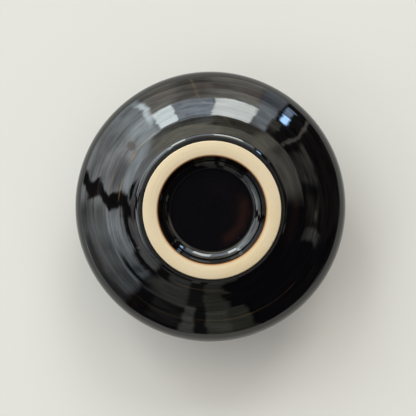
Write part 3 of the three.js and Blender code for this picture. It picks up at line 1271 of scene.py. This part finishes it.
@dataclass
class Studio:
    """Pale floor with painted shade that darkens it away from the window, a dome of soft light with a
    window side and a dark side, and the camera.

    Attributes:
        sizes: The clay's sizes.
        camera_rise: Height of the camera over the ground face.
        camera_east: Its place in x.
        camera_north: Its place in y.
        tilt_north: Its turn about x, in degrees.
        tilt_east: Its turn about y, in degrees.
        lens: Its focal length, in millimetres.
        floor_colour: The floor on the window side.
        floor_painted_shade: The floor's colour on the dark side, darker as painted shade for the window
            light's falloff.
        backdrop: What shows past the floor.
        dark_room: The dome where no patch lies, in the folds' hollows.
        dark_room_lit: The same on the folds' crests.
        fill: Soft light that only matt faces receive.
        waver: How far the patches' edges stray, in degrees of azimuth and of zenith.
        sway: How close their slow bends are.
        fray: How close their fine bends are.
        fray_share: How strong the fine bends are beside the slow ones.
        seeds: Which noise bends the azimuth, and which the zenith.
        pleat: How close the folds are, per degree of azimuth and of zenith.
        patches: The patches of light, each over the ones before it.
    """

    sizes: ClaySizes
    camera_rise: float = 415 * MM
    camera_east: float = -9.5 * MM
    camera_north: float = 21.9 * MM
    tilt_north: float = -2.845
    tilt_east: float = -1.022
    lens: float = 69.09
    floor_colour: Colour = (0.740, 0.700, 0.650, 1.0)
    floor_painted_shade: Colour = (0.720, 0.675, 0.625, 1.0)
    backdrop: Colour = (0.80, 0.79, 0.74, 1.0)
    dark_room: Colour = (0.018, 0.017, 0.022, 1.0)
    dark_room_lit: Colour = (0.034, 0.033, 0.040, 1.0)
    fill: Colour = (0.29, 0.285, 0.275, 1.0)
    floor_size: float = 60.0
    waver: tuple[float, float] = (5.0, 3.0)
    sway: float = 7.0
    fray: float = 34.0
    fray_share: float = 0.35
    seeds: tuple[float, float] = (0.0, 3.0)
    pleat: tuple[float, float] = (0.05, 0.40)
    patches: tuple[Patch, ...] = (
        Patch("overhead_middle", (-200, 200), (-14, 14), (0.045, 0.045, 0.055), (1.0, 4.0)),
        Patch("overhead", (-135, 45), (25, 33), (0.34, 0.33, 0.32), (20.0, 4.0)),
        Patch("overhead_dark_side", (45, 225), (27, 33), (0.14, 0.14, 0.13), (20.0, 4.0)),
        Patch("ceiling_left", (-152, -84), (33, 44), (0.95, 0.96, 0.94), (5.0, 1.5), folds=0.3),
        Patch("ceiling_by_window", (-84, -40), (33, 46), (1.95, 2.05, 2.1), (5.0, 2.0), folds=0.2),
        Patch("ceiling_middle", (-46, 14), (33, 45), (2.0, 1.95, 1.6), (9.0, 1.5), folds=0.2),
        Patch("ceiling_right", (10, 50), (33, 50), (1.42, 1.36, 1.11), (4.0, 2.0), folds=0.2),
        Patch(
            "ceiling_far_right", (48, 84), (33, 50), (0.90, 0.88, 0.74), (9.0, 2.0),
            folds=0.3, lean=2.0,
        ),
        Patch("ceiling_edge", (34, 84), (44, 48), (0.80, 0.80, 0.82), (4.0, 1.5), dims=True),
        Patch("frame_shade", (-42, 6), (42.5, 48.5), (0.75, 0.78, 0.72), (6.0, 1.0), folds=0.5),
        Patch("frame_corner", (2, 36), (39.5, 48.5), (0.50, 0.47, 0.37), (4.0, 1.2), folds=0.5, lean=3.0),
        Patch("wall_end", (-139, -120), (45, 95), (1.12, 1.25, 1.36), (3.0, 1.5), folds=0.35),
        Patch("wall_middle", (-124, -106), (45, 95), (1.82, 2.03, 2.14), (5.0, 1.5), folds=0.35),
        Patch("wall_far", (-110, -90), (45, 95), (2.55, 2.78, 2.92), (5.0, 1.5), folds=0.3),
        Patch("wall_left", (-98, -60), (44, 95), (2.3, 2.4, 2.45), (5.0, 1.5), folds=0.3),
        Patch("wall_near", (-64, -46), (44, 95), (3.2, 3.4, 3.45), (5.0, 1.5), folds=0.3),
        Patch("wall_by_window", (-50, -33), (46, 95), (4.2, 4.7, 4.9), (5.0, 2.0), folds=0.2),
        Patch("wall_glow", (-82, -48), (39.5, 47), (3.5, 3.9, 4.1), (6.0, 1.5), folds=0.2, lean=6.0),
        Patch("fold_high", (-83, -61), (46.8, 58.5), (0.64, 0.64, 0.64), (5.0, 1.8), dims=True),
        Patch("fold_near", (-63, -44), (55, 58.5), (0.68, 0.68, 0.68), (5.0, 1.8), dims=True),
        Patch("fold_low", (-98, -60), (71.5, 75.5), (0.72, 0.72, 0.72), (6.0, 2.0), dims=True),
        Patch("near_low", (-63, -28), (66.5, 92), (0.56, 0.56, 0.56), (5.0, 2.0), dims=True),
        Patch("far_low", (-140, -90), (63.5, 90), (0.52, 0.52, 0.50), (4.0, 2.0), dims=True),
        Patch("under_window", (-33, 33), (64, 95), (1.85, 1.80, 1.6), (1.5, 1.5), folds=0.3),
        Patch("under_middle", (-17, 2), (66, 95), (0.50, 0.50, 0.50), (6.0, 3.0), dims=True),
        Patch("window_edge", (-36, -32.5), (58, 84), (7.0, 8.0, 8.4), (1.2, 5.0), bow=-2.0),
        Patch("window_left", (-33, -20.5), (48.8, 65.4), (10.1, 11.3, 11.5), (1.0, 0.8), folds=0.1),
        Patch("window_middle", (-20.5, 3), (46.8, 65.4), (2.7, 3.05, 3.45), (1.0, 0.8), folds=0.4),
        Patch("window_right", (3, 27), (48.2, 65.4), (9.0, 9.5, 9.3), (1.0, 0.8), folds=0.1, lean=1.0),
        Patch("window_post", (27, 38), (50, 90), (1.95, 2.2, 2.4), (1.5, 2.0), folds=0.3),
        Patch("post_low", (26, 38), (69.5, 92), (0.68, 0.68, 0.68), (1.5, 1.5), dims=True),
        Patch("sill_line", (2, 38), (75.8, 79.6), (0.52, 0.52, 0.55), (2.0, 1.0), dims=True),
        Patch("sill_foot", (-46, 46), (80.5, 86), (0.62, 0.62, 0.62), (2.0, 1.2), dims=True),
        Patch("wall_foot", (-98, -60), (77.5, 86.5), (0.60, 0.60, 0.60), (8.0, 2.0), dims=True),
        Patch("wall_foot_far", (-142, -106), (80, 89), (0.32, 0.30, 0.28), (4.0, 1.0), dims=True),
        Patch("wall_foot_middle", (-108, -90), (80.5, 90), (0.60, 0.60, 0.60), (3.0, 1.0), dims=True),
        Patch("right_wall", (46, 110), (52, 89), (0.045, 0.04, 0.04), (2.0, 1.5), folds=0.9),
        Patch("dark_corner", (38, 46), (52, 88), (0.05, 0.05, 0.05), (1.2, 2.0), bow=3.0),
        Patch("sky_slit", (40.3, 44.3), (68, 75.4), (7.3, 11.8, 18.5), (0.9, 1.0), bow=0.5),
        Patch("slit_top", (40.0, 44.5), (77, 84.5), (1.6, 2.1, 2.9), (0.9, 1.2), folds=0.5),
        Patch("slit_glint", (37, 43), (53, 65), (0.55, 0.50, 0.42), (1.0, 2.0), folds=0.7),
        Patch("pale_post", (52.5, 54.3), (52, 89), (0.85, 0.78, 0.70), (0.9, 2.0), bow=-2.0),
        Patch("right_shelf", (60, 79), (52, 66), (0.24, 0.24, 0.21), (2.0, 2.0), folds=0.9, lean=2.0),
        Patch("shelf_line", (58, 80), (66, 68), (0.60, 0.58, 0.5), (3.0, 1.2), folds=0.9),
        Patch("far_shelf", (86, 106), (55, 67), (0.11, 0.105, 0.09), (2.5, 2.0), folds=1.0),
        Patch("shelf_end", (104, 110), (55, 70), (0.58, 0.58, 0.53), (1.5, 2.5), bow=2.0, folds=0.5),
        Patch("shelf_glint", (95, 99), (62.5, 65), (0.6, 0.6, 0.45), (2.5, 1.5), folds=0.6),
        Patch("far_cases", (119, 143), (76, 87), (0.035, 0.035, 0.035), (3.0, 2.0), folds=1.0),
        Patch("back_right", (159, 188), (60, 95), (0.40, 0.41, 0.34), (1.5, 1.5), folds=0.3, lean=-2.0),
        Patch("back_right_edge", (157, 170), (58, 95), (0.62, 0.62, 0.62), (2.0, 2.0), dims=True),
        Patch("back_right_foot", (157, 181), (82, 95), (0.70, 0.70, 0.70), (2.0, 2.0), dims=True),
        Patch(
            "back_right_mid", (169, 188), (47, 62), (0.27, 0.28, 0.23), (2.0, 1.5),
            bow=3.0, folds=0.3, lean=-2.0,
        ),
        Patch(
            "back_right_high", (172, 188), (33, 47), (0.27, 0.28, 0.23), (2.0, 1.5),
            bow=-3.0, folds=0.3, lean=-3.0,
        ),
        Patch("back_left", (-168, -141), (35, 62), (0.38, 0.38, 0.36), (3.0, 2.0), folds=0.3),
        Patch("back_left_low", (-167, -150), (64, 84), (0.09, 0.09, 0.09), (2.0, 2.0), folds=0.7),
        Patch("back_post", (-173, -167), (58, 90), (0.50, 0.50, 0.46), (1.0, 2.0), folds=0.3),
        Patch("dark_bar", (-179, -173), (56, 95), (0.05, 0.05, 0.05), (1.0, 2.0), lean=-1.0),
        Patch("dark_bar_foot", (-177, -168), (33, 57), (0.07, 0.07, 0.07), (1.5, 2.0)),
        Patch("gap_low", (-84, -76.5), (78, 89), (0.04, 0.04, 0.04), (1.0, 1.5), lean=3.0),
        Patch("gap_waist", (-87.5, -78), (69, 79), (0.04, 0.04, 0.04), (1.0, 1.0), lean=-2.0),
        Patch("gap_slant", (-90, -82.5), (58, 69.5), (0.04, 0.04, 0.04), (1.0, 1.0), lean=5.0),
        Patch("gap_high", (-93.5, -84), (45, 59), (0.04, 0.04, 0.04), (1.0, 1.0), lean=-2.0),
        Patch("gap_root", (-100, -83), (40.5, 46), (0.04, 0.04, 0.04), (2.0, 1.0), lean=1.0),
        Patch("gap_branch", (-101, -91), (37, 41.5), (0.04, 0.04, 0.04), (2.0, 0.8), lean=3.0),
        Patch("gap_spur", (-86, -73), (36, 40), (0.04, 0.04, 0.04), (2.0, 0.8), lean=-3.0),
        Patch("dark_rail", (-125, -86), (41.5, 45.6), (0.04, 0.04, 0.04), (3.0, 0.6)),
        Patch("dark_rail_far", (-144, -121), (43.0, 47.4), (0.04, 0.04, 0.04), (3.0, 0.6), bow=-3.0),
        Patch("dark_hook", (-152, -142), (36, 44.5), (0.05, 0.05, 0.05), (1.5, 1.0), bow=-3.0),
        Patch("dark_wedge", (-148, -120), (55.2, 59.4), (0.04, 0.04, 0.04), (8.0, 0.8)),
        Patch(
            "dark_drop", (-137, -131), (48, 56), (0.45, 0.47, 0.49), (2.0, 2.0),
            bow=2.0, lean=2.0, dims=True,
        ),
    )

    def lay_floor(self) -> None:
        """Lays the pale floor under the lip, with painted shade that darkens it away from the window."""
        bpy.ops.object.select_all(action="DESELECT")
        bpy.ops.mesh.primitive_plane_add(size=self.floor_size, location=(0.0, 0.0, 0.0))
        floor = bpy.context.object
        floor.name = "floor"
        material, paint = new_material("pale_floor")
        x, y, _z = paint.place()
        # painted shade: the floor's colour darkens from the window side to the dark side, standing in for
        # the window light's falloff
        painted_falloff = paint.ramp(x - y, -0.10, 0.24)
        colour = paint.mix(painted_falloff, self.floor_colour, self.floor_painted_shade)
        paint.show(
            paint.principled({"Base Color": colour, "Roughness": 0.7, "Specular IOR Level": 0.2})
        )
        floor.data.materials.append(material)

    def light(self) -> None:
        """Paints the dome of soft light, with a plain pale backdrop where the camera sees it."""
        world = bpy.data.worlds.new("studio")
        bpy.context.scene.world = world
        world.use_nodes = True
        paint = Paint(world.node_tree)
        direction = paint.node("ShaderNodeTexCoord", output="Generated")
        parts = paint.node("ShaderNodeSeparateXYZ", None, {0: direction})
        east, north, up = (Value(paint, parts.socket.node.outputs[i]) for i in range(3))
        middle = (1 + self.fray_share) / 2
        sway = [paint.noise(direction, self.sway, 2.0, seed) for seed in self.seeds]
        fray = [paint.noise(direction, self.fray, 2.0, seed) for seed in self.seeds]
        turn, rise = (wide + fine * self.fray_share - middle for wide, fine in zip(sway, fray))
        radians_azimuth = paint.node("ShaderNodeMath", {"operation": "ARCTAN2"}, {0: east, 1: north})
        radians_zenith = paint.node("ShaderNodeMath", {"operation": "ARCCOSINE"}, {0: up})
        azimuth = radians_azimuth * math.degrees(1.0) + turn * self.waver[0]
        zenith = radians_zenith * math.degrees(1.0) + rise * self.waver[1]
        drawn_out = paint.vector(azimuth * self.pleat[0], zenith * self.pleat[1], 0.0)
        pleats = paint.ramp(paint.noise(drawn_out, 1.0, 4.0), 0.30, 0.70)
        around = paint.mix(pleats, self.dark_room, self.dark_room_lit)
        for patch in self.patches:
            mask = patch.mask(paint, azimuth, zenith)
            if patch.dims:
                around = paint.mix(mask, around, patch.light + (1.0,), "MULTIPLY")
            else:
                around = paint.mix(mask, around, patch.colour(paint, pleats))
        soft = paint.node("ShaderNodeLightPath", output="Is Diffuse Ray")
        filled = paint.ramp((east - north) * 0.5 + up, -0.2, 1.1)
        around = paint.mix(soft * filled, around, self.fill, "ADD")
        seen = paint.node("ShaderNodeLightPath", output="Is Camera Ray")
        around = paint.mix(seen, around, self.backdrop)
        background = paint.node("ShaderNodeBackground", None, {"Color": around, "Strength": 1.0})
        paint.node("ShaderNodeOutputWorld", None, {"Surface": background})

    def place_camera(self) -> None:
        """Puts the camera over the foot ring, nearly straight down."""
        data = bpy.data.cameras.new("camera")
        data.lens = self.lens
        data.clip_start, data.clip_end = 0.01, 200.0
        camera = bpy.data.objects.new("camera", data)
        bpy.context.scene.collection.objects.link(camera)
        camera.location = (
            self.camera_east,
            self.camera_north,
            self.sizes.ground + self.camera_rise,
        )
        camera.rotation_euler = (math.radians(self.tilt_north), math.radians(self.tilt_east), 0.0)
        bpy.context.scene.camera = camera
        bpy.context.scene.view_settings.view_transform = "Standard"


def main() -> None:
    """Builds the studio and the pot."""
    logging.basicConfig(level=logging.INFO, format="%(name)s: %(message)s")
    sizes = ClaySizes()
    studio = Studio(sizes)
    studio.place_camera()
    studio.lay_floor()
    studio.light()
    glaze = GlazeFinish()
    clay = StonewareFinish().material("bare_stoneware", sizes)
    pot = Pot(sizes, Wheel())
    pot.throw_body(clay)
    pot.turn_foot_ring(clay)
    pot.glaze_outside(glaze.material("black_glaze_outside", sizes, 0.0))
    pot.glaze_lip(glaze.material("rust_lip_glaze", sizes, 3.5 * MM))
    pot.glaze_inside(glaze.material("black_glaze_inside", sizes, 0.0))
    pot.glaze_well(glaze.material("black_glaze_well", sizes, 0.0))


if __name__ == "__main__":
    main()
